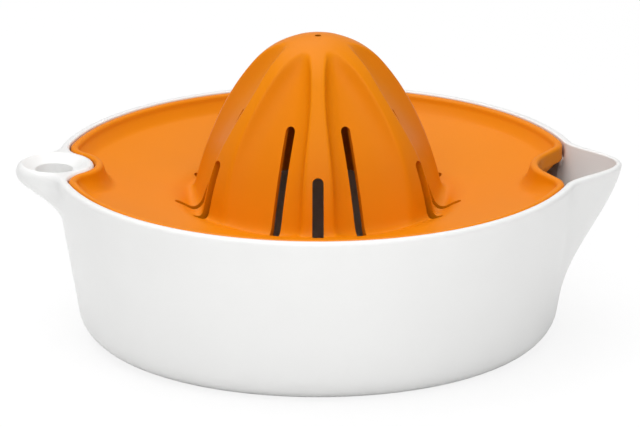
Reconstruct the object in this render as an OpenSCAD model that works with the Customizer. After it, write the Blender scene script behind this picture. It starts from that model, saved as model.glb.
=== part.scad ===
// Two-piece citrus juicer: a pouring bowl with a hanging loop,
// and a drop-in strainer tray with a fluted reamer cone.
// Millimetres, Z up. The origin is the middle of the base, on the table. The spout points along +X.

/* [Bowl] */
// Outer diameter of the rim
rim_diameter = 155; // [140:1:180]
// Height from the table to the rim
bowl_height = 51; // [44:0.5:70]
// Outer diameter of the wall carried down to the table
base_diameter = 137; // [120:1:148]
// Radius between the wall and the base
base_corner = 9.5; // [5:0.5:13]
// Wall thickness
wall = 3; // [2.4:0.1:4]
// Base thickness
base_thickness = 3; // [2:0.1:5]
// Width of the foot ring
foot_width = 6; // [3:0.5:12]
// Depth of the hollow inside the foot ring
foot_hollow = 0.8; // [0.4:0.1:1.4]
// Thickness of the rim beside the insert
rim_thickness = 2.65; // [2:0.05:3.2]
// Radius on the rim's edges
rim_edge_radius = 1.15; // [0.6:0.05:1.15]
// Depth of the ledge that carries the insert
ledge_depth = 4.5; // [3.8:0.1:6]
// How far the ledge stands in from the rim's inner face
ledge_width = 2; // [1.2:0.1:2.2]
// Thickness of the ledge at its edge
ledge_lip = 1.2; // [0.8:0.1:2]

/* [Spout] */
// How far the tip stands out from the rim
spout_reach = 11.2; // [6:0.2:16]
// Angle from the middle of the spout to its edge
spout_half_angle = 16; // [12:0.5:20]
// How far down the wall the spout fades out
spout_drop = 39; // [28:1:42]

/* [Hanging loop] */
// Outer diameter of the loop
loop_diameter = 23.3; // [20:0.1:28]
// How far the middle of the loop lies inside the rim's edge
loop_inset = 0.6; // [0:0.1:2]
// Thickness of the loop
loop_thickness = 5; // [4:0.1:6]
// Diameter of the hanging hole
hole_diameter = 10.8; // [8:0.1:12]
// Diameter of the dish round the hole
dish_diameter = 17.8; // [14:0.1:18.5]
// Depth of the dish
dish_depth = 2; // [1:0.1:2.4]
// Radius of the cove under the loop
cove_radius = 12; // [6:0.5:12]
// Radius between the loop and the outside of the rim
loop_fillet = 8; // [3:0.5:10]

/* [Insert] */
// Sheet thickness of the insert
sheet = 2; // [1.6:0.1:2.4]
// Width of the raised lip
lip_width = 2.2; // [2.1:0.1:3]
// Depth of the flange below the lip at its outer edge
flange_edge_depth = 3.2; // [2.6:0.1:3.6]
// Depth of the flange below the lip where it turns down to the gutter
flange_inner_depth = 7.4; // [6:0.1:8.5]
// Depth of the gutter below the lip
gutter_depth = 11.7; // [10:0.1:14]
// Radius of the insert's corners beside the loop
loop_corner = 10; // [4:0.5:12]
// Depth of the pouring notch
notch_depth = 10.3; // [8:0.1:12]
// Radius in the bottom of the pouring notch
notch_radius = 15; // [6:0.5:18]
// Angle from the middle of the notch to its sides
notch_half_angle = 60; // [50:1:66]
// Radius of the insert's corners beside the spout
notch_corner = 10; // [4:0.5:12]

/* [Reamer cone] */
// Height of the cone's top above the rim
cone_height = 39.3; // [32:0.1:46]
// Radius of the cone's cap
cap_radius = 25; // [20:0.5:27]
// Radius of the cone's flank, seen from the side
flank_radius = 58; // [52:1:75]
// Radius of the cone at its foot
cone_foot_radius = 37.3; // [34:0.1:38.5]
// Number of ribs
rib_count = 6; // [4:2:8]
// Angle of a flute's floor from upright
flute_tilt = 24; // [21:0.5:26]
// Half angle of the cone that cuts a flute
flute_spread = 27.5; // [22:0.5:30]
// Distance of a flute's vanishing point from the axis
flute_vertex_radius = 6.1; // [4:0.1:8]
// Height of a flute's vanishing point above the cone's top
flute_vertex_height = 9.6; // [7:0.1:13]

/* [Strainer slots] */
// Width of the slots in the ribs
rib_slot_width = 3; // [2:0.1:3.6]
// How far the slots in the ribs reach inward from the cone's foot
rib_slot_inward = 2.4; // [1.8:0.1:5]
// How far the slots in the ribs reach outward from the cone's foot
rib_slot_outward = 4.7; // [3:0.1:5.5]
// Width of the slots in the flutes
flute_slot_width = 2.4; // [1.6:0.1:3]
// How far the slots in the flutes reach inward from the cone's foot
flute_slot_inward = 16.9; // [13:0.1:19]
// How far the slots in the flutes reach outward from the cone's foot
flute_slot_outward = 5.3; // [3:0.1:6]
// Angle of a flute's slot from the rib in front of it
flute_slot_angle = 20.9; // [18:0.5:26]
// Diameter of the vent at the top
vent_diameter = 1.4; // [1:0.1:3]

/* [Fits] */
// Gap all round between insert and bowl
side_gap = 0.35; // [0.3:0.05:0.6]
// Gap between the insert's edge band and the ledge under it
seat_gap = 0.1; // [0.05:0.05:0.3]

/* [Hidden] */

$fn = 60;
over = 1;
seam_turn = 82;
rim_r = rim_diameter / 2;
base_r = base_diameter / 2;
rim_z = bowl_height;
slope = (rim_r - base_r) / bowl_height;
draft = atan(slope);
across = wall / cos(draft);
edge_share = 0.45;
rim_rounding = min(rim_edge_radius, rim_thickness * edge_share);
seat_r = rim_r - rim_thickness;
ledge_z = rim_z - ledge_depth;
ledge_r = seat_r - ledge_width;

spout_dip = 0.2;
spout_step = 0.15;
spout_fade = 0.98;
spout_root = wall * 0.55;
channel_depth = 7 * wall;

loop_r = loop_diameter / 2;
loop_x = rim_r - loop_inset;
hole_r = hole_diameter / 2;
scoop_margin = 0.6;
scoop_r = hole_r + scoop_margin;
scoop_z = rim_z - loop_thickness - scoop_r / 2;
cheek = wall * 0.8;
fillet_bite = 0.2;

insert_r = seat_r - side_gap;
loop_notch_r = loop_r + side_gap;
corner_share = 0.85;
least_corner = 0.1;
run_out = 4;
band_height = ledge_depth - seat_gap;
gutter_slope_run = 4.2;
gutter_tuck = 0.5;
gutter_out = cone_foot_radius + gutter_slope_run;
gutter_in = cone_foot_radius - gutter_tuck;
gutter_z = rim_z - gutter_depth;
tray_below = 2 * gutter_depth;

cap_z = rim_z + cone_height - cap_radius;
foot_rise = 4;
foot_z = gutter_z + foot_rise;
bend = flank_radius - cap_radius;
cap_lift = cap_z - foot_z;
foot_span = norm([cone_foot_radius, cap_lift]);
bend_share = (pow(flank_radius, 2) - pow(foot_span, 2) - pow(bend, 2)) / (2 * bend * foot_span);
join_angle = acos(bend_share) - atan2(cap_lift, cone_foot_radius);
flank_x = -bend * cos(join_angle);
flank_z = cap_z - bend * sin(join_angle);
flute_length = 130;

// Outer radius of the plain wall at height z
function wall_r(z) = base_r + slope * z;

// Smooth step from 0 to 1
function ease(t) = let (u = min(max(t, 0), 1)) u * u * (3 - 2 * u);

// Radius of the spout's outside at angle a and height z
function spout_r(a, z) =
    wall_r(z) + spout_reach * (1 - ease(abs(a) / spout_half_angle)) * (1 - ease((rim_z - z) / spout_drop));

// Middle of a circle of radius r that touches the two sides of a corner
function corner_middle(corner, a, b, r) =
    let (u = (a - corner) / norm(a - corner), v = (b - corner) / norm(b - corner), m = (u + v) / norm(u + v))
    corner + m * r / norm(cross([u.x, u.y, 0], [m.x, m.y, 0]));

// Foot of the perpendicular from point p on the line from corner to a
function foot_point(corner, a, p) =
    let (u = (a - corner) / norm(a - corner))
    corner + u * ((p - corner) * u);

// Points along the arc of radius r that rounds a corner, from the side toward a to the side toward b
function round_corner(corner, a, b, r, steps) =
    let (
        middle = corner_middle(corner, a, b, r),
        from = foot_point(corner, a, middle) - middle,
        to = foot_point(corner, b, middle) - middle,
        start = atan2(from.y, from.x),
        turn = (atan2(to.y, to.x) - start + 540) % 360 - 180
    )
    [for (i = [0 : steps]) middle + r * [cos(start + turn * i / steps), sin(start + turn * i / steps)]];

// Half section of the plain bowl, with the ledge inside its rim
module bowl_section() {
    floor_z = base_thickness + foot_hollow;
    foot_in = base_r - base_corner - foot_width;
    foot = [base_r, 0];
    top = [rim_r, rim_z];
    seat_top = [seat_r, rim_z];
    under_z = ledge_z - ledge_lip;
    drop = max(wall_r(under_z) - across - ledge_r, 0.1);
    under = [wall_r(under_z - drop) - across, under_z - drop];
    inner_foot = [wall_r(floor_z) - across, floor_z];
    polygon(concat(
        [[0, foot_hollow], [foot_in - foot_hollow, foot_hollow], [foot_in, 0]],
        round_corner(foot, [0, 0], top, base_corner, 8),
        round_corner(top, foot, seat_top, rim_rounding, 5),
        round_corner(seat_top, top, [seat_r, ledge_z], rim_rounding, 5),
        [[seat_r, ledge_z], [ledge_r, ledge_z], [ledge_r, under_z], under],
        round_corner(inner_foot, under, [0, floor_z], base_corner - wall, 8),
        [[0, floor_z]]
    ));
}

// Body of the spout: its curved face moved in by inset, closed at the back at depth below the plain wall
module spout_body(inset, depth, top_z) {
    columns = 12;
    rows = 10;
    low_z = rim_z - spout_drop * spout_fade;
    edge = spout_half_angle * spout_fade;
    width = columns + 1;
    count = width * (rows + 1);
    angles = [for (i = [0 : columns]) edge * (2 * i / columns - 1)];
    heights = [for (j = [0 : rows]) low_z + (top_z - low_z) * j / rows];
    face = [for (z = heights) for (a = angles) let (r = spout_r(a, min(z, rim_z)) - inset)
        [r * cos(a), r * sin(a), z]];
    back = [for (z = heights) for (a = angles) let (r = wall_r(z) - depth)
        [r * cos(a), r * sin(a), z]];
    quads = [for (j = [0 : rows - 1]) for (i = [0 : columns - 1]) j * width + i];
    polyhedron(
        points = concat(face, back),
        faces = concat(
            [for (k = quads) [k, k + width, k + 1]],
            [for (k = quads) [k + 1, k + width, k + width + 1]],
            [for (k = quads) [count + k, count + k + 1, count + k + width]],
            [for (k = quads) [count + k + 1, count + k + width + 1, count + k + width]],
            [for (i = [0 : columns - 1]) [i, i + 1, count + i + 1]],
            [for (i = [0 : columns - 1]) [i, count + i + 1, count + i]],
            [for (i = [0 : columns - 1]) let (k = rows * width + i) [k, count + k + 1, k + 1]],
            [for (i = [0 : columns - 1]) let (k = rows * width + i) [k, count + k, count + k + 1]],
            [for (j = [0 : rows - 1]) let (k = j * width) [k, count + k, k + width]],
            [for (j = [0 : rows - 1]) let (k = j * width) [k + width, count + k, count + k + width]],
            [for (j = [0 : rows - 1]) let (k = j * width + columns) [k, k + width, count + k]],
            [for (j = [0 : rows - 1]) let (k = j * width + columns) [k + width, count + k + width, count + k]]
        )
    );
}

// Middle of a circle of radius r that touches the loop's circle and one of the bowl's circles
function loop_touch(from_axis, from_loop) =
    let (x = (pow(from_axis, 2) - pow(from_loop, 2) + pow(loop_x, 2)) / (2 * loop_x))
    [-x, sqrt(pow(from_axis, 2) - x * x)];

// Fill between the loop's outline and one of the bowl's circles, both sides
module loop_fill(middle, r, far) {
    loop_middle = [-loop_x, 0];
    toward = (middle - loop_middle) / norm(middle - loop_middle);
    reach = middle * far / norm(middle);
    for (side = [-1, 1])
        scale([1, side])
            difference() {
                polygon([middle, middle - toward * (r + over), loop_touch(far, loop_r - over), reach]);
                translate(middle) circle(r);
            }
}

// The flat loop, its corners against the rim, the cove under it and the cheek of the hole inside the wall
module loop_body() {
    edge = loop_thickness / 2;
    under_z = rim_z - loop_thickness;
    corner = [wall_r(under_z), under_z];
    foot = [base_r, 0];
    translate([-loop_x, 0, 0])
        rotate_extrude() {
            translate([0, under_z]) square([loop_r - edge, loop_thickness]);
            intersection() {
                translate([loop_r - edge, rim_z - edge]) circle(edge);
                translate([loop_r - edge, under_z - over]) square([loop_r, loop_thickness + 2 * over]);
            }
        }
    translate([0, 0, under_z])
        linear_extrude(loop_thickness - rim_rounding) {
            loop_fill(loop_touch(insert_r - loop_corner, loop_notch_r + loop_corner), loop_corner + side_gap,
                seat_r + over);
            loop_fill(loop_touch(wall_r(under_z) + loop_fillet - fillet_bite, loop_r + loop_fillet),
                loop_fillet, wall_r(under_z) - over);
        }
    intersection() {
        translate([-loop_x, 0, rim_z - 2 * cove_radius])
            cylinder(r = loop_r - over, h = 2 * cove_radius - edge);
        rotate(seam_turn)
            rotate_extrude()
                polygon(concat(
                    round_corner(corner, [corner.x + over, corner.y], foot, cove_radius, 8),
                    [inside_wall(corner.y - cove_radius), inside_wall(corner.y), [corner.x, corner.y + over]],
                    [[corner.x + cove_radius / 2, corner.y + over]]
                ));
    }
    intersection() {
        translate([-loop_x, 0, scoop_z]) sphere(scoop_r + cheek, $fn = 36);
        translate([0, 0, scoop_z - 2 * scoop_r])
            cylinder(r = rim_r - wall / 2, h = rim_z - scoop_z + scoop_r);
    }
}

// Point in the middle of the plain wall at height z
function inside_wall(z) = [wall_r(z) - wall / 2, z];

// The hanging hole with its dish above and its way out below
module hanging_hole() {
    translate([-loop_x, 0, 0]) {
        translate([0, 0, scoop_z]) cylinder(r = hole_r, h = rim_z - scoop_z + over);
        translate([0, 0, rim_z - dish_depth])
            cylinder(r1 = hole_r, r2 = dish_diameter / 2, h = dish_depth);
        translate([0, 0, rim_z]) cylinder(r = dish_diameter / 2, h = over);
        translate([0, 0, scoop_z]) sphere(scoop_r, $fn = 36);
    }
}

module bowl() {
    color([0.95, 0.95, 0.94])
        difference() {
            union() {
                difference() {
                    union() {
                        rotate(seam_turn) rotate_extrude() bowl_section();
                        spout_body(spout_dip, spout_root, rim_z);
                    }
                    spout_body(rim_thickness - spout_step, channel_depth, rim_z + over);
                }
                loop_body();
            }
            hanging_hole();
        }
}

// Points along an arc about middle, from direction start to direction end
function arc(middle, r, start, end, steps) =
    [for (i = [0 : steps]) let (t = start + (end - start) * i / steps) middle + r * [cos(t), sin(t)]];

// Half a notch and its mirror image as one closed outline, run out past the insert's edge at far
function both_sides(half, way, far) =
    let (
        last = half[len(half) - 1] + run_out * way,
        whole = concat(half, [last, [far, last.y]])
    )
    concat(whole, [for (i = [len(whole) - 1 : -1 : 1]) [whole[i].x, -whole[i].y]]);

// Outline of the pouring notch, grown by inset
module pouring_notch(inset) {
    middle = [insert_r - notch_depth + notch_radius, 0];
    side = 90 + notch_half_angle;
    square_on = [cos(side), sin(side)];
    along = [square_on.y, -square_on.x];
    off = square_on * middle + notch_radius + notch_corner;
    corner = square_on * off + along * sqrt(pow(insert_r - notch_corner, 2) - off * off);
    start = side - 180;
    stop = start + corner_share * (atan2(corner.y, corner.x) - start);
    polygon(both_sides(
        concat(
            arc(middle, notch_radius + inset, 180, side, 6),
            arc(corner, max(notch_corner - inset, least_corner), start, stop, 8)
        ),
        [-sin(stop), cos(stop)],
        rim_r + over
    ));
}

// Outline of the notch round the loop, grown by inset
module loop_notch(inset) {
    middle = [-loop_x, 0];
    corner = loop_touch(insert_r - loop_corner, loop_notch_r + loop_corner);
    toward = atan2(corner.y, corner.x + loop_x);
    start = toward + 180;
    stop = start + corner_share * (atan2(corner.y, corner.x) - start);
    polygon(both_sides(
        concat(
            arc(middle, loop_notch_r + inset, 0, toward, 12),
            arc(corner, max(loop_corner - inset, least_corner), start, stop, 8)
        ),
        [sin(stop), -cos(stop)],
        -rim_r - over
    ));
}

// Plan of the insert, moved in by inset
module insert_plan(inset) {
    difference() {
        circle(insert_r - inset);
        loop_notch(inset);
        pouring_notch(inset);
    }
}

// Half section of all that lies above the flange, lowered by drop
module above_flange(drop) {
    edge_r = insert_r - lip_width;
    rise = (flange_inner_depth - flange_edge_depth) / (edge_r - gutter_out);
    polygon([
        [0, gutter_z - drop],
        [gutter_in - drop / 2, gutter_z - drop],
        [gutter_out - drop / 2, rim_z - flange_inner_depth - drop],
        [rim_r, rim_z - flange_edge_depth - drop + rise * (rim_r - edge_r)],
        [rim_r, rim_z + cone_height],
        [0, rim_z + cone_height]
    ]);
}

// The cone before fluting, moved in by inset and carried down to low_z
module cone_body(inset, low_z) {
    cap_steps = 6;
    flank_steps = 7;
    low_angle = asin((gutter_z - flank_z) / flank_radius);
    cap = [for (i = [0 : cap_steps - 1]) let (a = 90 - (90 - join_angle) * i / cap_steps)
        [0, cap_z] + (cap_radius - inset) * [cos(a), sin(a)]];
    flank = [for (i = [0 : flank_steps]) let (a = join_angle + (low_angle - join_angle) * i / flank_steps)
        [flank_x, flank_z] + (flank_radius - inset) * [cos(a), sin(a)]];
    rotate(seam_turn)
        rotate_extrude()
            polygon(concat(cap, flank, [[flank[flank_steps].x, low_z], [0, low_z]]));
}

// The tilted cones that cut the flutes, grown by grow
module flute_cutters(grow) {
    lean = flute_tilt + flute_spread;
    back = grow / sin(flute_spread);
    for (k = [0 : rib_count - 1])
        rotate(-90 + (k + 0.5) * 360 / rib_count)
            translate([flute_vertex_radius - back * sin(lean), 0,
                rim_z + cone_height + flute_vertex_height + back * cos(lean)])
                rotate([0, 180 - lean, 0])
                    rotate(180)
                        cylinder(r1 = 0, r2 = flute_length * tan(flute_spread), h = flute_length);
}

// One upright slot at angle a, reaching inward and outward from the cone's foot
module slot(a, inward, outward, width) {
    from = cone_foot_radius - inward;
    to = cone_foot_radius + outward;
    rotate(a)
        translate([0, 0, rim_z - tray_below])
            linear_extrude(tray_below + cone_height) {
                translate([from + width / 2, -width / 2]) square([to - from - width, width]);
                translate([from + width / 2, 0]) circle(width / 2, $fn = 40);
                translate([to - width / 2, 0]) circle(width / 2, $fn = 40);
            }
}

module reamer_insert() {
    step = 360 / rib_count;
    half = rib_count / 2;
    color([0.98, 0.58, 0.14])
        difference() {
            union() {
                difference() {
                    union() {
                        translate([0, 0, rim_z - band_height]) linear_extrude(band_height) insert_plan(0);
                        intersection() {
                            translate([0, 0, rim_z - tray_below])
                                linear_extrude(tray_below) insert_plan(ledge_width);
                            rotate_extrude() above_flange(sheet);
                        }
                    }
                    intersection() {
                        translate([0, 0, rim_z - tray_below])
                            linear_extrude(tray_below + over) insert_plan(lip_width);
                        rotate_extrude() above_flange(0);
                    }
                }
                difference() {
                    cone_body(0, gutter_z - sheet / 2);
                    flute_cutters(0);
                }
            }
            difference() {
                cone_body(sheet, rim_z - tray_below);
                flute_cutters(sheet);
            }
            for (k = [0 : rib_count - 1])
                slot(-90 + k * step, rib_slot_inward, rib_slot_outward, rib_slot_width);
            for (k = [0 : half - 1])
                for (side = [-1, 1])
                    slot(-90 + side * (k * step + flute_slot_angle), flute_slot_inward, flute_slot_outward,
                        flute_slot_width);
            translate([0, 0, rim_z]) cylinder(d = vent_diameter, h = 2 * cone_height, $fn = 32);
        }
}

bowl();
reamer_insert();
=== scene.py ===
import math

import bpy
import numpy as np
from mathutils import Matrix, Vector


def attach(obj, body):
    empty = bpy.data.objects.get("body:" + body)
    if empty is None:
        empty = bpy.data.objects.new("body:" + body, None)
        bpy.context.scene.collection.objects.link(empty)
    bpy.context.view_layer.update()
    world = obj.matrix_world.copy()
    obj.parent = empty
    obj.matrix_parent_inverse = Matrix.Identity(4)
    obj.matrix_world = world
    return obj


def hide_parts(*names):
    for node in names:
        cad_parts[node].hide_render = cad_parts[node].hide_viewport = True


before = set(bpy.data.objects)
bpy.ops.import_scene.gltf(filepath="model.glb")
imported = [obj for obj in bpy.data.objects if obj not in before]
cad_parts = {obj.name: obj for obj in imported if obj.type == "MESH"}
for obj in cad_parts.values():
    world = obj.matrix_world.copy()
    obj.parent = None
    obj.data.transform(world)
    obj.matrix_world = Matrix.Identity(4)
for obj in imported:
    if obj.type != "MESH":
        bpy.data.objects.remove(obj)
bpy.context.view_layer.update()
bpy.ops.object.select_all(action="DESELECT")

# Bowl
# One white injection moulding: wall, foot ring, pouring spout and hanging loop, with a ledge inside the rim.
# It starts as a ball whose lines run from the middle of the floor over the rim to the middle of the base.
MM = 0.001
RIM_HEIGHT = 51.4
RIM_RADIUS = 77.5
BASE_RADIUS = 68.5
BASE_CORNER = 9.5
FOOT_HOLLOW = 0.8
FOOT_INNER = 53.0
FLOOR_HEIGHT = 3.8
WALL_ACROSS = 3.05
SEAT_RADIUS = 74.85
LEDGE_HEIGHT = 46.5
LEDGE_RADIUS = 72.85
LEDGE_FOOT = 45.3
RIM_ROUND = 1.15
INNER_ROUND = 0.5
LOOP_INNER_ROUND = 1.6
SPOUT_REACH = 11.2
SPOUT_HALF_ANGLE = 16.0
SPOUT_DROP = 39.0
SPOUT_WALL = 2.6
SPOUT_EDGE_WALL = 1.8
SPOUT_EDGE_ROUND = 0.85
LOOP_X = 76.9
LOOP_RADIUS = 11.65
LOOP_ROUND = 2.4
LOOP_FILLET = 9.0
SEAT_CORNER = 10.35
NECK_TOP = 47.8
NECK_FOOT = 35.0
NECK_POWER = 1.7
BASE_WALL = 3.0
LEDGE_UNDERCUT = 0.7

slope = (RIM_RADIUS - BASE_RADIUS) / RIM_HEIGHT
draft = math.atan(slope)


def ease(t):
    t = np.clip(t, 0.0, 1.0)
    return t * t * (3.0 - 2.0 * t)


def wall_radius(z):
    return BASE_RADIUS + slope * z


# Columns run round the bowl: fine over the spout and the loop, wider along the plain sides.
SPOUT_COLUMNS = 36
SIDE_COLUMNS = 104
LOOP_COLUMNS = 60
SPOUT_EDGE = 18.0
LOOP_EDGE = 22.0
half_columns = SPOUT_COLUMNS + SIDE_COLUMNS + LOOP_COLUMNS
bowl_columns = 2 * half_columns
column = np.arange(bowl_columns)
from_spout = np.minimum(column, bowl_columns - column)
side_sign = np.where(column <= half_columns, 1.0, -1.0)
plain_angle = np.interp(
    from_spout,
    [0, SPOUT_COLUMNS, SPOUT_COLUMNS + SIDE_COLUMNS, half_columns],
    [0.0, SPOUT_EDGE, 180.0 - LOOP_EDGE, 180.0],
)
heading = np.radians(plain_angle) * side_sign
outward = np.stack([np.cos(heading), np.sin(heading)], axis=1)
along_loop = np.clip((half_columns - from_spout) / LOOP_COLUMNS, 0.0, 1.0)
by_loop = along_loop < 1.0
spout_share = 1.0 - ease(plain_angle / SPOUT_HALF_ANGLE)


def arc(middle, radius, start, end, count=80):
    turn = np.radians(np.linspace(start, end, count))
    return np.stack([middle[0] + radius * np.cos(turn), middle[1] + radius * np.sin(turn)], axis=1)


def spread(line, share):
    """Points at the given shares of a line's length."""
    steps = np.hypot(*np.diff(line, axis=0).T)
    run = np.concatenate([[0.0], np.cumsum(steps)])
    run = run / run[-1]
    return np.stack([np.interp(share, run, line[:, 0]), np.interp(share, run, line[:, 1])], axis=1)


def loop_corner(from_axis, from_loop):
    x = (from_axis**2 - from_loop**2 + LOOP_X**2) / (2 * LOOP_X)
    return x, math.sqrt(from_axis**2 - x * x)


# Plan of the loop outside and inside the rim, as half outlines from the tip to the plain rim.
corner_x, corner_y = loop_corner(RIM_RADIUS + LOOP_FILLET, LOOP_RADIUS + LOOP_FILLET)
at_loop = math.degrees(math.atan2(corner_y, corner_x - LOOP_X))
at_rim = math.degrees(math.atan2(corner_y, corner_x))
loop_outside = np.concatenate([
    arc((LOOP_X, 0), LOOP_RADIUS, 0, at_loop),
    arc((corner_x, corner_y), LOOP_FILLET, at_loop + 180, at_rim + 180),
    arc((0, 0), RIM_RADIUS, at_rim, LOOP_EDGE),
])
corner_x, corner_y = loop_corner(SEAT_RADIUS - SEAT_CORNER, LOOP_RADIUS + SEAT_CORNER)
at_loop = math.degrees(math.atan2(corner_y, corner_x - LOOP_X))
at_rim = math.degrees(math.atan2(corner_y, corner_x))
loop_inside = np.concatenate([
    arc((LOOP_X, 0), LOOP_RADIUS, 180, at_loop),
    arc((corner_x, corner_y), SEAT_CORNER, at_loop - 180, at_rim),
    arc((0, 0), SEAT_RADIUS, at_rim, LOOP_EDGE),
])
turned = np.stack([-np.ones(bowl_columns), side_sign], axis=1)
outside_pull = np.where(
    by_loop[:, None], spread(loop_outside, along_loop) * turned - RIM_RADIUS * outward, 0.0
)
inside_pull = np.where(
    by_loop[:, None], spread(loop_inside, along_loop) * turned - SEAT_RADIUS * outward, 0.0
)
swell = np.where(by_loop, np.cos(0.5 * math.pi * along_loop) ** 2, 0.0)[:, None] * outward
outside_swell = swell * (LOOP_X + LOOP_RADIUS - RIM_RADIUS)
inside_swell = swell * (LOOP_X - LOOP_RADIUS - SEAT_RADIUS)


def neck(z):
    return ease((z - NECK_FOOT) / (NECK_TOP - NECK_FOOT)) ** NECK_POWER


def outer_plan(z):
    """Outside of the bowl at heights z, one for each column."""
    pull = neck(z)[:, None]
    reach = SPOUT_REACH * spout_share * (1.0 - ease((RIM_HEIGHT - z) / SPOUT_DROP))
    plain = (wall_radius(z) + reach)[:, None] * outward
    return plain + pull * (pull * outside_pull + (1.0 - pull) * outside_swell)


def inner_plan(radius, z):
    """Inside of the bowl beside the loop, from the plain radius."""
    pull = neck(z)[:, None]
    return radius[:, None] * outward + pull * (pull * inside_pull + (1.0 - pull) * inside_swell)


def plan_normal(points):
    way = np.roll(points, -1, axis=0) - np.roll(points, 1, axis=0)
    way = way / np.hypot(way[:, 0], way[:, 1])[:, None]
    return np.stack([way[:, 1], -way[:, 0]], axis=1)


def ring(plan, z):
    return np.column_stack([plan, np.broadcast_to(z, (bowl_columns,))])


one = np.ones(bowl_columns)
LOOP_ROUND_END = 0.4
LOOP_ROUND_FADE = 0.35
loop_share = np.where(by_loop, 1.0 - ease((along_loop - LOOP_ROUND_END) / LOOP_ROUND_FADE), 0.0)
edge_round = RIM_ROUND + (LOOP_ROUND - RIM_ROUND) * loop_share + (SPOUT_EDGE_ROUND - RIM_ROUND) * spout_share
inner_round = INNER_ROUND + (LOOP_INNER_ROUND - INNER_ROUND) * loop_share
spout_wall = (SPOUT_WALL + (SPOUT_EDGE_WALL - SPOUT_WALL) * spout_share)[:, None]

# Outside, from the middle of the base over the foot ring's small round and up to the rim.
outside = []
for radius, z in [(8, FOOT_HOLLOW), (26, FOOT_HOLLOW), (44, FOOT_HOLLOW), (FOOT_INNER - 1.1, FOOT_HOLLOW),
                  (FOOT_INNER - 0.6, 0.65), (FOOT_INNER - 0.25, 0.2), (FOOT_INNER + 0.2, 0.0), (56.5, 0.0)]:
    outside.append(ring(radius * outward, z))
corner_run = BASE_CORNER * math.tan(0.25 * math.pi - 0.5 * draft)
for turn in np.linspace(-0.5 * math.pi, -draft, 12):
    radius = BASE_RADIUS - corner_run + BASE_CORNER * math.cos(turn)
    outside.append(ring(radius * outward, BASE_CORNER * (1.0 + math.sin(turn))))
corner_top = BASE_CORNER * (1.0 - math.sin(draft))
round_middle = RIM_HEIGHT - edge_round
round_foot = round_middle - edge_round * math.sin(draft)
for step in np.concatenate([np.linspace(0.0, 0.62, 11)[1:], np.linspace(0.62, 1.0, 20)[1:-1]]):
    z = corner_top + step * (round_foot - corner_top)
    outside.append(ring(outer_plan(z), z))
rim_plan = outer_plan(round_middle)
rim_normal = plan_normal(rim_plan)
for turn in np.linspace(-draft, 0.5 * math.pi, 9):
    inset = edge_round * (1.0 / math.cos(draft) - math.cos(turn))
    outside.append(ring(rim_plan - inset[:, None] * rim_normal, round_middle + edge_round * math.sin(turn)))

# Inside, from the rim down over the ledge to the middle of the floor. The spout and the loop have no ledge.
LEDGE_START = 15.0
LEDGE_FADE = 0.6
EAR_END = 0.62
EAR_FADE = 0.2
EAR_SQUEEZE = 0.3
SPOUT_FOOT = 12.0
SPOUT_FADE = 10.0
ledge_share = np.clip((plain_angle - LEDGE_START) / LEDGE_FADE, 0.0, 1.0)
ear_share = np.where(by_loop, 1.0 - ease((along_loop - EAR_END) / EAR_FADE), 0.0)
top_plan = outer_plan(RIM_HEIGHT * one)
top_normal = plan_normal(top_plan)
seat_plan = (
    ledge_share[:, None] * inner_plan(SEAT_RADIUS * one, RIM_HEIGHT * one)
    + (1.0 - ledge_share[:, None]) * (top_plan - spout_wall * top_normal)
)
seat_normal = plan_normal(seat_plan)
inside = []
for turn in np.linspace(0.5 * math.pi, 0.0, 8):
    inset = inner_round * (1.0 - math.cos(turn))
    z = RIM_HEIGHT - inner_round * (1.0 - math.sin(turn))
    inside.append(ring(seat_plan + inset[:, None] * seat_normal, z))
under_z = LEDGE_FOOT - LEDGE_UNDERCUT
ledge = [
    (SEAT_RADIUS, 48.7), (SEAT_RADIUS, 47.6), (SEAT_RADIUS, LEDGE_HEIGHT + 0.25),
    (SEAT_RADIUS - 0.07, LEDGE_HEIGHT + 0.07),
    (SEAT_RADIUS - 0.25, LEDGE_HEIGHT), (73.8, LEDGE_HEIGHT), (LEDGE_RADIUS + 0.25, LEDGE_HEIGHT),
    (LEDGE_RADIUS + 0.07, LEDGE_HEIGHT - 0.07), (LEDGE_RADIUS, LEDGE_HEIGHT - 0.25), (LEDGE_RADIUS, 45.8),
    (LEDGE_RADIUS, LEDGE_FOOT), (wall_radius(under_z) - WALL_ACROSS, under_z),
]
wall_z = [43.0, 41.5, 40.0, 38.5, 37.0, 35.0, 32.0, 28.0, 24.0, 20.0, 16.0, 13.0]
ledge += [(wall_radius(z) - WALL_ACROSS, z) for z in wall_z]
upper_count = len(ledge) - len(wall_z) + 2
free_z = np.concatenate([np.linspace(RIM_HEIGHT - RIM_ROUND, wall_z[0], upper_count)[1:], wall_z[1:]])
for (radius, plain_z), other_z in zip(ledge, free_z):
    ear_z = min(other_z, RIM_HEIGHT - LOOP_ROUND - EAR_SQUEEZE * (RIM_HEIGHT - RIM_ROUND - other_z))
    z = plain_z * one + (1.0 - ledge_share) * (other_z - plain_z) + ear_share * (ear_z - plain_z)
    wall_inside = np.minimum(SEAT_RADIUS, wall_radius(z) - WALL_ACROSS)
    bare_radius = np.where(z > LEDGE_HEIGHT, SEAT_RADIUS, wall_inside)
    plan = inner_plan(radius + ear_share * (bare_radius - radius), z)
    free_plan = outer_plan(z)
    keep = 1.0 - (1.0 - ledge_share) * ease((z - SPOUT_FOOT) / SPOUT_FADE)
    plan = keep[:, None] * plan + (1.0 - keep[:, None]) * (free_plan - spout_wall * plan_normal(free_plan))
    inside.append(ring(plan, z))
inner_corner = BASE_CORNER - BASE_WALL
inner_foot = wall_radius(FLOOR_HEIGHT) - WALL_ACROSS
inner_run = inner_corner * math.tan(0.25 * math.pi - 0.5 * draft)
for turn in np.linspace(-draft, -0.5 * math.pi, 9):
    radius = inner_foot - inner_run + inner_corner * math.cos(turn)
    inside.append(ring(radius * outward, FLOOR_HEIGHT + inner_corner * (1.0 + math.sin(turn))))
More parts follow.
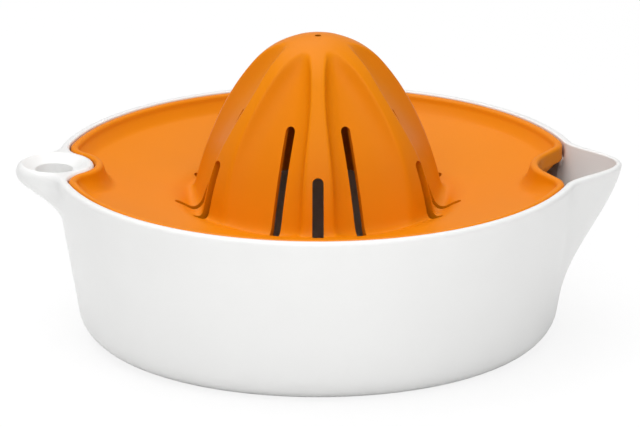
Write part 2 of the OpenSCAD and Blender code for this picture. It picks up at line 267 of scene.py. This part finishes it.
for radius in (52.0, 42.0, 30.0, 18.0, 8.0):
    inside.append(ring(radius * outward, FLOOR_HEIGHT))


def shaped_ball(name, rings, top, bottom):
    """A ball whose rings, from its top to its bottom, are set to the given places in millimetres."""
    columns = len(rings[0])
    bpy.ops.object.select_all(action="DESELECT")
    bpy.ops.mesh.primitive_uv_sphere_add(segments=columns, ring_count=len(rings) + 1, radius=1.0)
    ball = bpy.context.active_object
    ball.name = ball.data.name = name
    spots = np.empty(len(ball.data.vertices) * 3)
    ball.data.vertices.foreach_get("co", spots)
    spots = spots.reshape(-1, 3)
    row = np.rint(np.arccos(np.clip(spots[:, 2], -1.0, 1.0)) / math.pi * (len(rings) + 1)).astype(int)
    place = np.rint(np.arctan2(spots[:, 1], spots[:, 0]) / (2.0 * math.pi) * columns).astype(int) % columns
    stack = np.concatenate([
        np.broadcast_to(top, (1, columns, 3)), np.array(rings), np.broadcast_to(bottom, (1, columns, 3))
    ])
    ball.data.vertices.foreach_set("co", (stack[row, place] * MM).ravel())
    ball.data.update()
    return ball


bowl = shaped_ball("bowl_moulding", inside[::-1] + outside[::-1], (0, 0, FLOOR_HEIGHT), (0, 0, FOOT_HOLLOW))


def turned_solid(name, profile, x, steps):
    """A solid turned about an upright axis at x, from a half section that starts and ends on the axis."""
    bpy.ops.object.select_all(action="DESELECT")
    bpy.ops.mesh.primitive_circle_add(vertices=len(profile), radius=1.0, fill_type="NOTHING")
    solid = bpy.context.active_object
    solid.name = name
    for vertex, (radius, z) in zip(solid.data.vertices, profile):
        vertex.co = ((x + radius) * MM, 0.0, z * MM)
    bpy.ops.object.mode_set(mode="EDIT")
    bpy.ops.mesh.select_all(action="SELECT")
    bpy.ops.mesh.spin(steps=steps, angle=2.0 * math.pi, center=(x * MM, 0.0, 0.0), axis=(0.0, 0.0, 1.0))
    bpy.ops.mesh.select_all(action="SELECT")
    bpy.ops.mesh.remove_doubles(threshold=0.000005)
    bpy.ops.mesh.normals_make_consistent(inside=False)
    bpy.ops.object.mode_set(mode="OBJECT")
    return solid


def cut(piece, cutter):
    """Takes the cutter's shape out of the piece."""
    modifier = piece.modifiers.new("cut", "BOOLEAN")
    modifier.operation = "DIFFERENCE"
    modifier.solver = "MANIFOLD"
    modifier.object = cutter
    bpy.ops.object.select_all(action="DESELECT")
    bpy.context.view_layer.objects.active = piece
    piece.select_set(True)
    bpy.ops.object.modifier_apply(modifier=modifier.name)
    piece.data.materials.clear()
    piece.data.polygons.foreach_set("material_index", [0] * len(piece.data.polygons))
    bpy.data.objects.remove(cutter)


# The hanging hole: a soft dish, a straight bore and a rounded way out below.
HOLE_RADIUS = 5.4
SCOOP_RADIUS = 6.0
SCOOP_Z = 43.0
DISH_RADIUS = 11.0
CUT_ABOVE = 2.0
BOWL_SMOOTH_ANGLE = 32.0
HOLE_STEPS = 96
scoop_start = math.acos(HOLE_RADIUS / SCOOP_RADIUS)
hole_section = [(0.0, RIM_HEIGHT + CUT_ABOVE), (DISH_RADIUS, RIM_HEIGHT + CUT_ABOVE)]
dish = [
    (DISH_RADIUS, -0.9), (9.9, -0.04), (9.3, 0.16), (8.4, 0.6), (7.4, 1.15), (6.6, 1.5),
    (5.9, 1.75), (5.5, 1.95), (HOLE_RADIUS, 2.25),
]
for radius, depth in dish:
    hole_section.append((radius, RIM_HEIGHT - depth))
for turn in np.linspace(scoop_start, -0.5 * math.pi, 16):
    hole_section.append((SCOOP_RADIUS * max(math.cos(turn), 0.0), SCOOP_Z + SCOOP_RADIUS * math.sin(turn)))
hole_section[-1] = (0.0, SCOOP_Z - SCOOP_RADIUS)
cut(bowl, turned_solid("hanging_hole", hole_section, -LOOP_X, HOLE_STEPS))
bpy.ops.object.shade_smooth_by_angle(angle=math.radians(BOWL_SMOOTH_ANGLE))


def linear(code):
    """Linear colour from an sRGB hex code."""
    parts = [int(code[i:i + 2], 16) / 255.0 for i in (1, 3, 5)]
    return [p / 12.92 if p <= 0.04045 else ((p + 0.055) / 1.055) ** 2.4 for p in parts] + [1.0]


def node(tree, kind, settings=(), links=()):
    """Adds a node, sets its properties or input values, and links outputs of other nodes to its inputs."""
    made = tree.nodes.new(kind)
    for key, value in dict(settings).items():
        if isinstance(key, str) and hasattr(made, key):
            setattr(made, key, value)
        else:
            made.inputs[key].default_value = value
    for key, (source, output) in dict(links).items():
        tree.links.new(source.outputs[output], made.inputs[key])
    return made


# The grain of a mould is about 0.1 mm. It is drawn at 0.6 mm so that it shows at all.
GRAIN = 0.6
GRAIN_DEPTH = 0.02


def moulded_plastic(name, patch, colours, roughness, relief, specular):
    """A dyed plastic with a soft mottle of two colours, in patches of that size, and a faint mould grain."""
    material = bpy.data.materials.new(name)
    material.use_nodes = True
    tree = material.node_tree
    tree.nodes.clear()
    place = {"Vector": (node(tree, "ShaderNodeTexCoord"), "Object")}
    mottle = node(tree, "ShaderNodeTexNoise", {"Scale": 1.0 / (patch * MM), "Detail": 2.0}, place)
    dyes = {"data_type": "RGBA", 6: linear(colours[0]), 7: linear(colours[1])}
    tint = node(tree, "ShaderNodeMix", dyes, {0: (mottle, "Fac")})
    grain = node(tree, "ShaderNodeTexNoise", {"Scale": 1.0 / (GRAIN * MM), "Detail": 1.0}, place)
    satin = {"To Min": roughness[0], "To Max": roughness[1]}
    gloss = node(tree, "ShaderNodeMapRange", satin, {"Value": (mottle, "Fac")})
    depth = {"Strength": relief, "Distance": GRAIN_DEPTH * MM}
    bump = node(tree, "ShaderNodeBump", depth, {"Height": (grain, "Fac")})
    skin = node(
        tree, "ShaderNodeBsdfPrincipled", {"IOR": 1.49, "Specular IOR Level": specular},
        {"Base Color": (tint, 2), "Roughness": (gloss, "Result"), "Normal": (bump, "Normal")},
    )
    node(tree, "ShaderNodeOutputMaterial", {}, {"Surface": (skin, "BSDF")})
    return material


# Moulded white polypropylene: a clean gloss with a faint satin mould grain and a slight milky mottle.
white = moulded_plastic("moulded_white_polypropylene", 24, ("#E6E6E5", "#EBEBEA"), (0.26, 0.34), 0.03, 0.5)
bowl.data.materials.append(white)
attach(bowl, "bowl")
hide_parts("bowl")

# Strainer insert with its reamer cone
# One orange injection moulding, loose on the bowl's ledge and keyed by the hanging loop. It is one skin,
# 2 mm thick with solid ribs, and its slots are cut level through the cone and upright through the gutter.
INSERT_Z = 51.1
SHEET = 2.0
INSERT_RADIUS = 74.5
LOOP_NOTCH = 12.0
LOOP_NOTCH_CORNER = 10.0
NOTCH_X = 79.2
NOTCH_RADIUS = 15.0
NOTCH_SIDE = 150.0
NOTCH_CORNER = 10.0
BAND_FOOT = -4.4
EDGE_DEPTH = 3.2
INNER_DEPTH = 9.0
DISH_POWER = 1.6
DISH_EDGE = 2.2
GUTTER_DEPTH = 12.2
GUTTER_IN = 36.8
GUTTER_OUT = 41.5
CONE_HEIGHT = 39.0
CAP_RADIUS = 25.0
FLANK_RADIUS = 85.0
CONE_FOOT = 37.3
CONE_FOOT_Z = -7.7
VALLEY_ANGLE = 20.9
VALLEY_TOP = 37.2
VALLEY_RADIUS = 9.2
VALLEY_SLOPE = 0.714
VALLEY_BEND = 0.004
FLUTE_CURVE = 5.8
FLUTE_OPENING = 0.105
FLUTE_STEEPNESS = 0.86
WIDEST_OPENING = 4.8
RIB_ROUND = 0.7
RIB_WIDTH = 4.1
SIDE_RIB_WIDTH = 2.6
SIDE_RIB_SHIFT = 4.1
FOOT_SHIFT_SHARE = 0.3
RIB_FLARE = 4.9
RIB_FLARE_Z = 30.0
FOOT_SIDE_SLOPE = 0.45
FLUTE_CORNER = 3.6
GUTTER_ROUND = 3.0
GUTTER_BEND = 2.0
GUTTER_FLOOR_BEND = 1.5
TRAY_STEEPNESS = 0.9

# Half outline in plan from the pouring notch round to the loop.
square_on = np.array([math.cos(math.radians(NOTCH_SIDE)), math.sin(math.radians(NOTCH_SIDE))])
notch_way = np.array([square_on[1], -square_on[0]])
off = square_on[0] * NOTCH_X + NOTCH_RADIUS + NOTCH_CORNER
lobe = square_on * off + notch_way * math.sqrt((INSERT_RADIUS - NOTCH_CORNER) ** 2 - off**2)
lobe_end = math.degrees(math.atan2(lobe[1], lobe[0]))
corner_x, corner_y = loop_corner(INSERT_RADIUS - LOOP_NOTCH_CORNER, LOOP_NOTCH + LOOP_NOTCH_CORNER)
key = np.array([-corner_x, corner_y])
key_start = math.degrees(math.atan2(key[1], key[0]))
key_end = math.degrees(math.atan2(key[1], key[0] + LOOP_X))
notch_line = np.concatenate([
    arc((NOTCH_X, 0), NOTCH_RADIUS, 180, NOTCH_SIDE), arc(lobe, NOTCH_CORNER, NOTCH_SIDE - 180, lobe_end)
])
edge_line = arc((0, 0), INSERT_RADIUS, lobe_end, key_start, 400)
loop_line = np.concatenate([
    arc(key, LOOP_NOTCH_CORNER, key_start, key_end + 180), arc((-LOOP_X, 0), LOOP_NOTCH, key_end, 0)
])
NOTCH_STEPS = 32
EDGE_STEPS = 180
LOOP_STEPS = 28
half_edge = np.concatenate([
    spread(notch_line, np.linspace(0, 1, NOTCH_STEPS + 1))[:-1],
    spread(edge_line, np.linspace(0, 1, EDGE_STEPS + 1))[:-1],
    spread(loop_line, np.linspace(0, 1, LOOP_STEPS + 1)),
])
edge = np.concatenate([half_edge, half_edge[-2:0:-1] * [1, -1]])
edge_normal = plan_normal(edge)
insert_columns = len(edge)
spoke_angle = np.arange(insert_columns) * 2.0 * math.pi / insert_columns
spoke = np.stack([np.cos(spoke_angle), np.sin(spoke_angle)], axis=1)

cap_z = CONE_HEIGHT - CAP_RADIUS
bend = FLANK_RADIUS - CAP_RADIUS
foot_span = math.hypot(CONE_FOOT, cap_z - CONE_FOOT_Z)
bend_share = (FLANK_RADIUS**2 - foot_span**2 - bend**2) / (2.0 * bend * foot_span)
join = math.acos(bend_share) - math.atan2(cap_z - CONE_FOOT_Z, CONE_FOOT)
flank_x = -bend * math.cos(join)
flank_z = cap_z - bend * math.sin(join)
rib_step = math.pi / 3.0
# Front rib, two side ribs and back rib of one half: the width, and the share of the shift to the front.
ribs = [(RIB_WIDTH, 0.0), (SIDE_RIB_WIDTH, 1.0), (SIDE_RIB_WIDTH, 1.0), (RIB_WIDTH, 0.0)]


def smooth_min(a, b, size):
    near = np.maximum(size - np.abs(a - b), 0.0) / size
    return np.minimum(a, b) - near * near * size * 0.25


def smooth_max(a, b, size):
    return -smooth_min(-a, -b, size)


def cone_depth(x, y, z, ribbed):
    """Distance outside the fluted cone, negative inside it. The side ribs stand a little to the front."""
    r = np.hypot(x, y)
    above = np.arctan2(z - flank_z, r - flank_x) > join
    flank = np.hypot(r - flank_x, z - flank_z) - FLANK_RADIUS
    body = np.where(above, np.hypot(r, z - cap_z) - CAP_RADIUS, flank)
    from_front = np.arctan2(np.abs(x), -y)
    drop = VALLEY_TOP - z
    valley = VALLEY_RADIUS + VALLEY_SLOPE * drop - VALLEY_BEND * drop * np.maximum(drop, 0.0)
    curve = FLUTE_CURVE * np.exp(np.clip(FLUTE_OPENING * drop, 0.0, WIDEST_OPENING))
    climb = ease(z / RIB_FLARE_Z)
    flare = RIB_FLARE * (1.0 - climb)
    shift = SIDE_RIB_SHIFT * (FOOT_SHIFT_SHARE + (1.0 - FOOT_SHIFT_SHARE) * climb)
    side_slope = FOOT_SIDE_SLOPE + (1.0 - FOOT_SIDE_SLOPE) * climb
    past_rib = []
    half_rib = []
    for k, (width, share) in enumerate(ribs):
        past_rib.append(r * np.sin(from_front - k * rib_step) + share * shift)
        half_rib.append(0.5 * (width + flare) * ribbed)
    flute = np.full(np.shape(r), np.inf)
    for k in range(3):
        turn = from_front - k * rib_step - math.radians(VALLEY_ANGLE)
        trough = (valley + (r * np.sin(turn)) ** 2 / (2.0 * curve) - r * np.cos(turn)) * FLUTE_STEEPNESS
        trough = smooth_max(trough, side_slope * (half_rib[k] - past_rib[k]), FLUTE_CORNER)
        trough = smooth_max(trough, side_slope * (half_rib[k + 1] + past_rib[k + 1]), FLUTE_CORNER)
        flute = np.minimum(flute, trough)
    return -smooth_min(-body, flute, RIB_ROUND)


gutter_rise = (GUTTER_DEPTH - INNER_DEPTH) / (GUTTER_OUT - GUTTER_IN)
dish_span = INSERT_RADIUS - DISH_EDGE - GUTTER_OUT


def tray_height(r):
    """Height of the tray from the gutter round the cone out to the lip, with soft bends."""
    gutter_side = gutter_rise * (r - GUTTER_OUT)
    tray_side = (INNER_DEPTH - EDGE_DEPTH) * (np.maximum(r - GUTTER_OUT, 0.0) / dish_span) ** DISH_POWER
    dish = smooth_min(gutter_side, tray_side, GUTTER_BEND) - INNER_DEPTH
    return smooth_max(dish, np.full(np.shape(r), -GUTTER_DEPTH), GUTTER_FLOOR_BEND)


def skin_depth(x, y, z, ribbed):
    """Distance outside the insert's skin."""
    tray = (z - tray_height(np.hypot(x, y))) * TRAY_STEEPNESS
    return smooth_min(cone_depth(x, y, z, ribbed), tray, GUTTER_ROUND)


LOWEST = -40.0
HIGHEST = 60.0
HALVINGS = 44


def skin_height(plan, level, ribbed):
    """Height at which the skin's distance is level, found by halving."""
    low = np.full(len(plan), LOWEST)
    high = np.full(len(plan), HIGHEST)
    for _ in range(HALVINGS):
        middle = 0.5 * (low + high)
        inside_skin = skin_depth(plan[:, 0], plan[:, 1], middle, ribbed) < level
        low = np.where(inside_skin, middle, low)
        high = np.where(inside_skin, high, middle)
    return 0.5 * (low + high)


BEAD_RADIUS = 1.25
BEAD_POWER = 0.75
BEAD_RISE = 0.2
BEAD_DROP = 0.8
BEAD_BACK_SLOPE = 3.0
BEAD_BLEND = 0.5
LIP_SETTLE = 0.06
RAMP_POWER = 2.0
RAMP_START = 2.0
RAMP_WIDTH = 4.2


def lip_height(plan, inset):
    """Height of the lip's bead and of the soft slope from the bead down to the tray."""
    tray = tray_height(np.hypot(plan[:, 0], plan[:, 1]))
    fall = (1.0 - min(max((inset - RAMP_START) / RAMP_WIDTH, 0.0), 1.0)) ** RAMP_POWER
    across = min(abs(inset - BEAD_RADIUS) / BEAD_RADIUS, 1.0)
    bead = BEAD_RISE + BEAD_RADIUS * (math.sqrt(1.0 - across * across) - 1.0)
    bead -= BEAD_BACK_SLOPE * max(inset - 2.0 * BEAD_RADIUS, 0.0)
    ramp = tray + (BEAD_RISE - BEAD_DROP - tray) * fall
    return smooth_max(ramp, np.full(insert_columns, bead), BEAD_BLEND) - LIP_SETTLE


INNER_CIRCLE = 44.0
inner_circle = INNER_CIRCLE * spoke
lip_line = edge - (RAMP_START + RAMP_WIDTH) * edge_normal
cone_radii = np.concatenate([
    [1.0, 2.0, 3.5, 5.0, 6.5], np.arange(8.0, 26.0, 0.75), np.arange(26.0, 40.0, 0.5),
    np.arange(40.0, 43.8, 0.6),
])
upper = []
for radius in cone_radii:
    plan = radius * spoke
    upper.append(np.column_stack([plan, skin_height(plan, 0.0, True)]))
for span in np.linspace(1.0, 0.0, 13):
    plan = lip_line + span * (inner_circle - lip_line)
    upper.append(np.column_stack([plan, skin_height(plan, 0.0, True)]))
for inset in (5.6, 5.0, 4.5, 4.0, 3.6, 3.25, 2.95, 2.7, 2.5, 2.35, 2.22, 2.1, 1.95, 1.78, 1.55, BEAD_RADIUS):
    plan = edge - inset * edge_normal
    upper.append(np.column_stack([plan, lip_height(plan, inset)]))
for turn in np.linspace(0.5 * math.pi, 0.0, 8)[1:]:
    plan = edge - BEAD_RADIUS * (1.0 - abs(math.cos(turn)) ** BEAD_POWER) * edge_normal
    z = BEAD_RISE + BEAD_RADIUS * (max(math.sin(turn), 0.0) ** BEAD_POWER - 1.0)
    upper.append(np.column_stack([plan, np.full(insert_columns, z)]))
lower = []
# The lip's upright band and its flat foot, which lies on the ledge, with small rounds.
band = [
    (0.0, -2.3), (0.0, -3.4), (0.0, BAND_FOOT + 0.25), (0.08, BAND_FOOT + 0.07), (0.25, BAND_FOOT),
    (1.0, BAND_FOOT), (1.9, BAND_FOOT), (1.97, BAND_FOOT - 0.07), (2.0, BAND_FOOT - 0.3),
]
for inset, z in band:
    lower.append(np.column_stack([edge - inset * edge_normal, np.full(insert_columns, z)]))
for inset in (2.2, 3.5):
    plan = edge - inset * edge_normal
    lower.append(np.column_stack([plan, skin_height(plan, -SHEET, False)]))
for span in np.linspace(0.0, 1.0, 8):
    plan = lip_line + span * (inner_circle - lip_line)
    lower.append(np.column_stack([plan, skin_height(plan, -SHEET, False)]))
hollow_radii = np.concatenate([
    np.arange(43.0, 38.0, -1.0), np.arange(38.0, 20.0, -0.75), np.arange(20.0, 6.0, -1.2), [5.0, 3.5, 2.0]
])
for radius in hollow_radii:
    plan = radius * spoke
    lower.append(np.column_stack([plan, skin_height(plan, -SHEET, False)]))

on_rim = np.array([0.0, 0.0, INSERT_Z])
cone_top = on_rim + (0, 0, CONE_HEIGHT)
rings = [line + on_rim for line in upper + lower]
insert = shaped_ball("reamer_moulding", rings, cone_top, cone_top - (0, 0, SHEET))


# Each slot runs down the cone, across the gutter and a little way up the far side of the gutter.
SLOT_CUT = 27.0
SLOT_REACH = 38.5
GUTTER_CUT = -5.5
SLOT_FOOT = 1.0
SLOT_INWARD = 6.5
RIB_SLOT_TOP = 6.0
RIB_SLOT_END = 41.6
RIB_SLOT_WIDTH = 3.3
FLUTE_SLOT_TOP = 17.6
FLUTE_SLOT_END = 42.2
FLUTE_SLOT_WIDTH = 2.9
VENT_WIDTH = 1.5
VENT_FOOT = 2.6
VENT_DEPTH = 5.0
VENT_ABOVE = 0.5
SEAM = 0.04
INSERT_SMOOTH_ANGLE = 48.0


def slot_cutter(angle, start, end, width, lying):
    """A round-ended bar on a spoke: upright, from start to end along it, or lying, between two heights."""
    bpy.ops.object.select_all(action="DESELECT")
    bpy.ops.mesh.primitive_circle_add(vertices=32, radius=0.5 * width * MM, fill_type="NGON")
    bar = bpy.context.active_object
    for vertex in bar.data.vertices:
        vertex.co.x += (end - 0.5 * width) * MM if vertex.co.x > 1e-6 else (start + 0.5 * width) * MM
    bpy.ops.object.mode_set(mode="EDIT")
    bpy.ops.mesh.select_all(action="SELECT")
    bpy.ops.mesh.extrude_region_move(TRANSFORM_OT_translate={"value": (0.0, 0.0, SLOT_CUT * MM)})
    bpy.ops.mesh.select_all(action="SELECT")
    bpy.ops.mesh.normals_make_consistent(inside=False)
    bpy.ops.object.mode_set(mode="OBJECT")
    if lying:
        bar.rotation_euler.y = -0.5 * math.pi
        bar.location.x = SLOT_REACH * MM
        bar.location.z = INSERT_Z * MM
        bpy.ops.object.transform_apply(location=True, rotation=True, scale=True)
    else:
        bar.location.z = (INSERT_Z + GUTTER_CUT - SLOT_CUT) * MM
    bar.rotation_euler.z = math.radians(angle)
    bpy.ops.object.transform_apply(location=True, rotation=True, scale=True)
    return bar


slots = []
for k in range(6):
    slots.append((-90.0 + 60.0 * k, RIB_SLOT_TOP, RIB_SLOT_END, RIB_SLOT_WIDTH))
for side in (-1, 1):
    for k in range(3):
        angle = -90.0 + side * (60.0 * k + VALLEY_ANGLE)
        slots.append((angle, FLUTE_SLOT_TOP, FLUTE_SLOT_END, FLUTE_SLOT_WIDTH))
bpy.ops.mesh.primitive_cone_add(
    vertices=24, radius1=VENT_FOOT * MM, radius2=0.5 * VENT_WIDTH * MM, depth=VENT_DEPTH * MM,
    location=(0.0, 0.0, (INSERT_Z + CONE_HEIGHT + VENT_ABOVE - 0.5 * VENT_DEPTH) * MM)
)
vent = bpy.context.active_object
bpy.ops.object.transform_apply(location=True, rotation=True, scale=True)
on_cone = [vent]
in_gutter = []
for angle, top, end, width in slots:
    on_cone.append(slot_cutter(angle, SLOT_FOOT - GUTTER_DEPTH, top, width, True))
for angle, top, end, width in slots:
    in_gutter.append(slot_cutter(angle, CONE_FOOT - SLOT_INWARD, end, width + SEAM, False))
for bars in (on_cone, in_gutter):
    bpy.ops.object.select_all(action="DESELECT")
    for bar in bars:
        bar.select_set(True)
    bpy.context.view_layer.objects.active = bars[0]
    bpy.ops.object.join()
    cut(insert, bars[0])
bpy.ops.object.shade_smooth_by_angle(angle=math.radians(INSERT_SMOOTH_ANGLE))

# Moulded orange polypropylene: a warm, fully dyed plastic with a faint satin grain and weak highlights.
orange = moulded_plastic("moulded_orange_polypropylene", 20, ("#DE7F03", "#E38305"), (0.34, 0.42), 0.04, 0.1)
insert.data.materials.append(orange)
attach(insert, "insert")
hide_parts("reamer_insert")

# Floor and light
# A plain white studio sweep: the floor is matt card, seen by the camera as white, and keeps a soft shadow.
# Wide lamps hang overhead and behind, a low one lights the floor in front, and the pale room fills the rest.
FLOOR_SIZE = 30.0
SEEN_WHITE = 0.85
ROOM_LIGHT = 0.40
OBJECT_MIDDLE = (0.0, 0.0, 0.06)
bpy.ops.object.select_all(action="DESELECT")
bpy.ops.mesh.primitive_plane_add(size=FLOOR_SIZE, location=(0.0, 0.0, 0.0))
floor = bpy.context.active_object
floor.name = "studio_floor"
card = bpy.data.materials.new("matt_white_card")
card.use_nodes = True
tree = card.node_tree
tree.nodes.clear()
ray = node(tree, "ShaderNodeLightPath")
seen = node(tree, "ShaderNodeMath", {"operation": "MULTIPLY", 1: SEEN_WHITE}, {0: (ray, "Is Camera Ray")})
matt = node(tree, "ShaderNodeBsdfDiffuse", {"Color": linear("#F6F6F6")})
glow = node(tree, "ShaderNodeEmission", {"Color": linear("#FFFFFF"), "Strength": 1.0})
both = node(tree, "ShaderNodeMixShader", {}, {0: (seen, 0), 1: (matt, 0), 2: (glow, 0)})
node(tree, "ShaderNodeOutputMaterial", {}, {"Surface": (both, 0)})
floor.data.materials.append(card)

world = bpy.data.worlds.new("pale_room")
world.use_nodes = True
tree = world.node_tree
tree.nodes.clear()
ray = node(tree, "ShaderNodeLightPath")
room = node(tree, "ShaderNodeBackground", {"Color": linear("#FFFFFF"), "Strength": ROOM_LIGHT})
backdrop = node(tree, "ShaderNodeBackground", {"Color": linear("#FFFFFF"), "Strength": 1.0})
both = node(tree, "ShaderNodeMixShader", {}, {0: (ray, "Is Camera Ray"), 1: (room, 0), 2: (backdrop, 0)})
node(tree, "ShaderNodeOutputWorld", {}, {"Surface": (both, 0)})
bpy.context.scene.world = world


def soft_lamp(name, place, aim, width, power):
    """A square soft lamp at a place, aimed at a point."""
    data = bpy.data.lights.new(name, "AREA")
    data.size = width
    data.energy = power
    lamp = bpy.data.objects.new(name, data)
    bpy.context.scene.collection.objects.link(lamp)
    lamp.location = place
    lamp.rotation_euler = (Vector(aim) - Vector(place)).to_track_quat("-Z", "Y").to_euler()


soft_lamp("top_softbox", (-0.25, 0.0, 1.5), OBJECT_MIDDLE, width=1.3, power=14.0)
soft_lamp("back_softbox", (-0.2, 0.9, 1.3), OBJECT_MIDDLE, width=1.0, power=4.5)
soft_lamp("floor_softbox", (0.05, -0.75, 0.5), (0.05, -0.75, 0.0), width=0.8, power=4.0)

# Camera
# Far away with a long lens, as in a product photograph, looking along +Y from a little above the rim.
# It is aimed so that the middle of the rim falls on RIM_PIXEL of a 640 by 427 picture.
CAMERA_DISTANCE = 4.0
SENSOR_WIDTH = 36.0
ELEVATION = math.radians(17.5)
FOCAL_PIXELS = 13723.0
IMAGE_WIDTH, IMAGE_HEIGHT = 640, 427
AIM_HEIGHT = 51.0
RIM_PIXEL = (318.0, 163.76)
rim_middle = Vector((0.0, 0.0, AIM_HEIGHT * MM))
camera_data = bpy.data.cameras.new("camera")
camera_data.sensor_width = SENSOR_WIDTH
camera_data.lens = FOCAL_PIXELS * SENSOR_WIDTH / IMAGE_WIDTH
camera_data.clip_start, camera_data.clip_end = 0.1, 50.0
camera = bpy.data.objects.new("camera", camera_data)
bpy.context.scene.collection.objects.link(camera)
camera.location = rim_middle + CAMERA_DISTANCE * Vector((0.0, -math.cos(ELEVATION), math.sin(ELEVATION)))
pixel = CAMERA_DISTANCE / FOCAL_PIXELS
view_up = Vector((0.0, math.sin(ELEVATION), math.cos(ELEVATION)))
aim = rim_middle + Vector((1.0, 0.0, 0.0)) * (0.5 * IMAGE_WIDTH - RIM_PIXEL[0]) * pixel
aim -= view_up * (0.5 * IMAGE_HEIGHT - RIM_PIXEL[1]) * pixel
camera.rotation_euler = (aim - camera.location).to_track_quat("-Z", "Y").to_euler()
bpy.context.scene.camera = camera
bpy.context.scene.view_settings.view_transform = "Standard"
